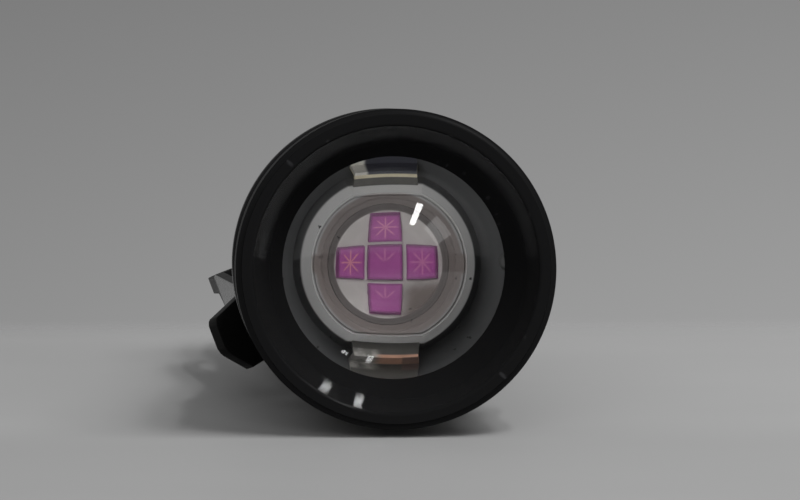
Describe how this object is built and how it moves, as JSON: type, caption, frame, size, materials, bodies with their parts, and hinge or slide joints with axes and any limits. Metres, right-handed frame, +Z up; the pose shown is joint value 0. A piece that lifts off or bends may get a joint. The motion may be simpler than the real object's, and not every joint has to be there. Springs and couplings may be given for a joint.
{
  "type": "infrared torch illuminator",
  "caption": "Small push-pull zoom infrared torch with a clear aspheric lens, cross-shaped emitter, pocket clip and tail button.",
  "frame": {"origin": "centre of the head's front rim, on the optical axis", "axes": "+Y along the optical axis from the front rim to the tail, so the light leaves towards -Y; +Z up as the torch lies on a table, with the pocket clip on the -X side"},
  "size_m": [0.0294, 0.0947, 0.027],
  "materials": {
    "black_anodise": "gloss black anodised",
    "clear_lens": "polished clear acrylic",
    "black_rubber": "matt moulded rubber",
    "bare_aluminium": "turned aluminium",
    "black_board": "black solder mask on a metal-core board",
    "white_plastic": "pale moulded plastic",
    "plated_copper": "silver-plated copper",
    "infrared_dies": "magenta-tinted semiconductor",
    "clear_dome": "clear silicone",
    "gold_lead": "gold-plated copper strip",
    "green_board": "green solder mask on laminate",
    "dark_parts": "moulded electronic parts",
    "spring_steel": "plated spring wire",
    "red_wire": "red insulation",
    "black_wire": "black insulation",
    "cell_wrap": "plain shrink wrap over a sealed can",
    "clip_steel": "black-finished spring steel",
    "grey_plastic": "moulded switch plastic",
    "brass_contact": "brass"
  },
  "bodies": {
    "barrel": {"barrel": "black_anodise", "pill": "bare_aluminium", "star_board": "black_board", "emitter_housing": "white_plastic", "emitter_slug": "plated_copper", "emitter_dies": "infrared_dies", "emitter_dome": "clear_dome", "emitter_lead_positive": "gold_lead", "emitter_lead_negative": "gold_lead", "driver_board": "green_board", "driver_inductor": "dark_parts", "driver_chips": "dark_parts", "driver_spring": "spring_steel", "lead_wire_red": "red_wire", "lead_wire_black": "black_wire", "battery_cell": "cell_wrap"},
    "glide_ring": {"head_glide_o_ring": "black_rubber"},
    "head": {"head_shell": "black_anodise", "lens": "clear_lens", "lens_seal": "black_rubber", "lens_retaining_ring": "bare_aluminium"},
    "clip": {"pocket_clip": "clip_steel"},
    "tail_ring": {"tail_o_ring": "black_rubber"},
    "tail": {"tail_cap": "black_anodise", "switch_boot": "black_rubber", "boot_washer": "grey_plastic", "switch_retaining_ring": "bare_aluminium", "switch_board": "green_board", "switch_housing": "grey_plastic", "switch_terminals": "brass_contact", "switch_spring": "spring_steel", "tail_spring": "spring_steel"},
    "button": {"switch_plunger": "grey_plastic"}
  },
  "joints": [
    {"name": "head_turn", "type": "hinge", "parent": "barrel", "child": "glide_ring", "pos_m": [0, 0.02, 0], "axis": [0, 1, 0], "continuous": true},
    {"name": "zoom_slide", "type": "slide", "parent": "glide_ring", "child": "head", "axis": [0, -1, 0], "range_m": [0, 0.0085]},
    {"name": "clip_turn", "type": "hinge", "parent": "barrel", "child": "clip", "pos_m": [0, 0.068, 0], "axis": [0, 1, 0], "continuous": true},
    {"name": "cap_turn", "type": "hinge", "parent": "barrel", "child": "tail_ring", "pos_m": [0, 0.08, 0], "axis": [0, 1, 0], "range_deg": [0, 1620]},
    {"name": "cap_out", "type": "slide", "parent": "tail_ring", "child": "tail", "axis": [0, 1, 0], "range_m": [0, 0.0045]},
    {"name": "button_press", "type": "slide", "parent": "tail", "child": "button", "axis": [0, -1, 0], "range_m": [0, 0.0015], "stiffness_N_per_m": 1200, "deforming": ["switch_spring", "switch_boot"]}
  ],
  "couplings": [
    {"joint": "cap_out", "follows": "cap_turn", "m_per_rad": 0.00015915}
  ]
}
